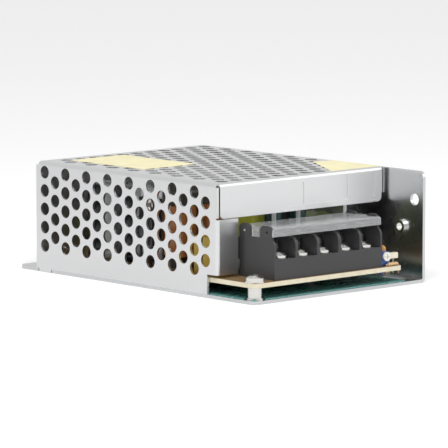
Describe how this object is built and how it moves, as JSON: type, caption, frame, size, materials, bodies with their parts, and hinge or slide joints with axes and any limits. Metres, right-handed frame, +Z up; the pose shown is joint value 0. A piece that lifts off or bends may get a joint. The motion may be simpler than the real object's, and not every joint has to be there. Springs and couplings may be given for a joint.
{
  "type": "mesh case switching power supply",
  "caption": "Enclosed switching power supply: perforated sheet cover on a bent base plate, circuit board, covered screw terminal block in front, mounting ear behind.",
  "frame": {"origin": "centre of the underside of the base plate, ear included", "axes": "+X across the terminals to the right wall, +Y back from the terminals to the ear, +Z up from the mounting face"},
  "size_m": [0.0797, 0.12, 0.0381],
  "materials": {
    "zinc_base": "zinc coated sheet, faint rolling grain",
    "zinc_cover": "zinc coated sheet, faint rolling grain",
    "nickel": "nickel plated",
    "film": "translucent film",
    "laminate": "paper laminate, pale cut edge",
    "block_black": "moulded, fine satin",
    "tinned": "tinned strip",
    "lid_clear": "clear, slightly smoky",
    "trimmer_blue": "moulded",
    "rotor_white": "moulded",
    "lamp_orange": "tinted resin",
    "case_yellow": "moulded",
    "sleeve_fuse": "shrink sleeve",
    "disc_green": "dipped",
    "package_black": "moulded",
    "sink_alu": "rolled plate",
    "sleeve_black": "shrink sleeve",
    "sleeve_teal": "shrink sleeve",
    "ferrite": "sintered",
    "copper": "enamelled wire",
    "tape_yellow": "polyester tape",
    "core_olive": "painted powder core",
    "wire_green": "enamelled wire",
    "disc_blue": "dipped",
    "film_green": "dipped",
    "ceramic_cream": "moulded",
    "resistor_tan": "lacquered",
    "label_yellow": "paper label"
  },
  "bodies": {
    "root": {"base_chassis": "zinc_base", "cover": "zinc_cover", "cover_screws": "nickel", "insulating_film": "film", "standoffs": "nickel", "clinch_nut": "nickel", "circuit_board": "laminate", "board_screws": "nickel", "board_washers": "nickel", "terminal_housing": "block_black", "terminal_contacts": "tinned", "trimmer_body": "trimmer_blue", "indicator_led": "lamp_orange", "mains_capacitor": "case_yellow", "input_fuse": "sleeve_fuse", "surge_thermistor": "disc_green", "bridge_rectifier": "package_black", "bridge_heatsink": "sink_alu", "bulk_capacitor_1": "sleeve_black", "bulk_capacitor_2": "sleeve_black", "line_choke_core": "ferrite", "line_choke_windings": "copper", "transformer_core": "ferrite", "transformer_bobbin": "block_black", "transformer_tape": "tape_yellow", "switching_transistor": "package_black", "primary_heatsink": "sink_alu", "output_rectifier": "package_black", "output_heatsink": "sink_alu", "output_inductor_core": "core_olive", "output_inductor_winding": "wire_green", "output_capacitor_1": "sleeve_teal", "output_capacitor_2": "sleeve_teal", "output_capacitor_3": "sleeve_teal", "safety_capacitor": "disc_blue", "film_capacitor": "film_green", "ceramic_capacitor": "ceramic_cream", "control_chip": "package_black", "optocoupler": "package_black", "resistors": "resistor_tan", "device_screws": "nickel", "large_label": "label_yellow", "small_label": "label_yellow"},
    "lid": {"terminal_lid": "lid_clear"},
    "trimmer": {"trimmer_rotor": "rotor_white"},
    "clamp_1": {"clamp_washer_1": "tinned"},
    "screw_1": {"terminal_screw_1": "nickel"},
    "clamp_2": {"clamp_washer_2": "tinned"},
    "screw_2": {"terminal_screw_2": "nickel"},
    "clamp_3": {"clamp_washer_3": "tinned"},
    "screw_3": {"terminal_screw_3": "nickel"},
    "clamp_4": {"clamp_washer_4": "tinned"},
    "screw_4": {"terminal_screw_4": "nickel"},
    "clamp_5": {"clamp_washer_5": "tinned"},
    "screw_5": {"terminal_screw_5": "nickel"}
  },
  "joints": [
    {"name": "lid_hinge", "type": "hinge", "parent": "root", "child": "lid", "pos_m": [-0.00375, -0.0434, 0.0222], "axis": [-1, 0, 0], "range_deg": [0, 75]},
    {"name": "trimmer_turn", "type": "hinge", "parent": "root", "child": "trimmer", "pos_m": [0.0229, -0.0572, 0.0101], "axis": [0, -1, 0], "range_deg": [-135, 135]},
    {"name": "clamp_lift_1", "type": "slide", "parent": "root", "child": "clamp_1", "axis": [0, 0, 1], "range_m": [0, 0.003]},
    {"name": "screw_turn_1", "type": "hinge", "parent": "clamp_1", "child": "screw_1", "pos_m": [-0.02315, -0.0542, 0.0132], "axis": [0, 0, 1], "range_deg": [0, 2160]},
    {"name": "clamp_lift_2", "type": "slide", "parent": "root", "child": "clamp_2", "axis": [0, 0, 1], "range_m": [0, 0.003]},
    {"name": "screw_turn_2", "type": "hinge", "parent": "clamp_2", "child": "screw_2", "pos_m": [-0.01345, -0.0542, 0.0132], "axis": [0, 0, 1], "range_deg": [0, 2160]},
    {"name": "clamp_lift_3", "type": "slide", "parent": "root", "child": "clamp_3", "axis": [0, 0, 1], "range_m": [0, 0.003]},
    {"name": "screw_turn_3", "type": "hinge", "parent": "clamp_3", "child": "screw_3", "pos_m": [-0.00375, -0.0542, 0.0132], "axis": [0, 0, 1], "range_deg": [0, 2160]},
    {"name": "clamp_lift_4", "type": "slide", "parent": "root", "child": "clamp_4", "axis": [0, 0, 1], "range_m": [0, 0.003]},
    {"name": "screw_turn_4", "type": "hinge", "parent": "clamp_4", "child": "screw_4", "pos_m": [0.00595, -0.0542, 0.0132], "axis": [0, 0, 1], "range_deg": [0, 2160]},
    {"name": "clamp_lift_5", "type": "slide", "parent": "root", "child": "clamp_5", "axis": [0, 0, 1], "range_m": [0, 0.003]},
    {"name": "screw_turn_5", "type": "hinge", "parent": "clamp_5", "child": "screw_5", "pos_m": [0.01565, -0.0542, 0.0132], "axis": [0, 0, 1], "range_deg": [0, 2160]}
  ],
  "couplings": [
    {"joint": "screw_turn_1", "follows": "clamp_lift_1", "rad_per_m": 12566},
    {"joint": "screw_turn_2", "follows": "clamp_lift_2", "rad_per_m": 12566},
    {"joint": "screw_turn_3", "follows": "clamp_lift_3", "rad_per_m": 12566},
    {"joint": "screw_turn_4", "follows": "clamp_lift_4", "rad_per_m": 12566},
    {"joint": "screw_turn_5", "follows": "clamp_lift_5", "rad_per_m": 12566}
  ]
}
